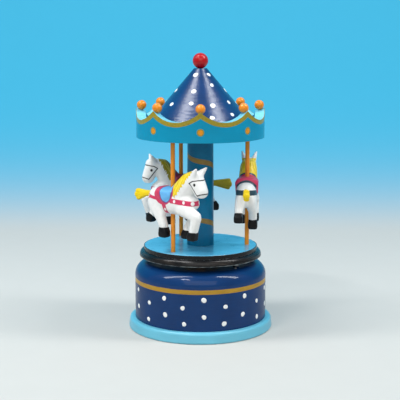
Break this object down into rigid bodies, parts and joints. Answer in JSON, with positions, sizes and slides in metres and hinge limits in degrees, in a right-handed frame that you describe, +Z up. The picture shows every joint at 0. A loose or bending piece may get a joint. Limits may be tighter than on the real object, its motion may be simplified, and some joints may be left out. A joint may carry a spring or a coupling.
{
  "type": "wind-up musical carousel",
  "caption": "Painted wooden musical carousel with horses on poles under a crowned cone roof, wound by turning it, on a dotted drum that holds the clockwork.",
  "frame": {"origin": "centre of the foot's underside", "axes": "+Z up along the turning axis, -Y towards the front"},
  "size_m": [0.1076, 0.1076, 0.2043],
  "materials": {
    "foot_paint": "turned wood, light blue gloss paint",
    "drum_paint": "turned wood, navy gloss paint with white dots and a gold band",
    "rim_paint": "turned wood, black gloss paint",
    "deck_paint": "plywood, light blue satin paint",
    "column_paint": "turned wood, deep blue paint with a gold ribbon",
    "crown_paint": "turned wood, blue satin paint with a gold line",
    "bead_paint": "wooden bead, orange gloss paint",
    "pole_paint": "wooden dowel, orange gloss paint",
    "roof_paint": "turned wood, navy gloss paint with white dots",
    "finial_paint": "wooden ball, red gloss paint",
    "horse_paint": "carved wood, white paint with painted harness and mane",
    "tail_paint": "carved wood, yellow paint",
    "knob_paint": "black gloss",
    "bare_wood": "plain birch",
    "brass": "turned and cut brass",
    "steel": "bright steel"
  },
  "bodies": {
    "base": {"base_foot": "foot_paint", "base_drum": "drum_paint", "drum_lid": "drum_paint", "bottom_cover": "bare_wood", "cover_screws": "steel", "arbor_bush": "brass", "thrust_washer": "steel", "movement_bedplate": "steel", "movement_screws": "steel", "spring_housing": "brass", "mainspring": "steel", "inner_bracket": "steel", "outer_bracket": "steel", "governor_frame": "steel", "frame_rivets": "brass", "comb": "steel", "comb_block": "steel", "comb_screws": "steel", "lever_rivet": "brass"},
    "carousel": {"winding_arbor": "steel", "great_wheel": "brass", "platform_hub": "brass", "hub_screws": "steel", "platform_rim": "rim_paint", "platform_board": "rim_paint", "platform_deck": "deck_paint", "centre_column": "column_paint", "roof_dowel": "bare_wood", "canopy_disc": "crown_paint", "crown_ring": "crown_paint", "crown_beads": "bead_paint", "bead_pins": "steel", "roof_cone": "roof_paint", "finial_ball": "finial_paint", "finial_peg": "bare_wood", "pole_1": "pole_paint", "horse_1": "horse_paint", "horse_tail_1": "tail_paint", "pole_2": "pole_paint", "horse_2": "horse_paint", "horse_tail_2": "tail_paint", "pole_3": "pole_paint", "horse_3": "horse_paint", "horse_tail_3": "tail_paint"},
    "cylinder_unit": {"music_cylinder": "brass", "cylinder_shaft": "steel", "drive_pinion": "brass", "end_gear": "brass"},
    "governor_unit": {"governor_shaft": "steel", "worm_wheel": "brass"},
    "fan_unit": {"worm_shaft": "steel", "air_fan": "brass"},
    "lever_unit": {"stop_lever": "steel", "stop_knob": "knob_paint"}
  },
  "joints": [
    {"name": "carousel_turn", "type": "hinge", "parent": "base", "child": "carousel", "pos_m": [0, 0, 0.0519], "axis": [0, 0, 1], "continuous": true},
    {"name": "cylinder_turn", "type": "hinge", "parent": "base", "child": "cylinder_unit", "pos_m": [0.0235, 0, 0.029], "axis": [1, 0, 0], "continuous": true},
    {"name": "governor_turn", "type": "hinge", "parent": "base", "child": "governor_unit", "pos_m": [0.0355, -0.009, 0.029], "axis": [1, 0, 0], "continuous": true},
    {"name": "fan_turn", "type": "hinge", "parent": "base", "child": "fan_unit", "pos_m": [0.0355, -0.0158, 0.029], "axis": [0, 0, 1], "continuous": true},
    {"name": "stop_lever_swing", "type": "hinge", "parent": "base", "child": "lever_unit", "pos_m": [0.0187, -0.0208, 0.0403], "axis": [0, 0, 1], "range_deg": [0, 15.5]}
  ],
  "couplings": [
    {"joint": "cylinder_turn", "follows": "carousel_turn", "ratio": 3},
    {"joint": "governor_turn", "follows": "carousel_turn", "ratio": -12},
    {"joint": "fan_turn", "follows": "carousel_turn", "ratio": -336}
  ]
}
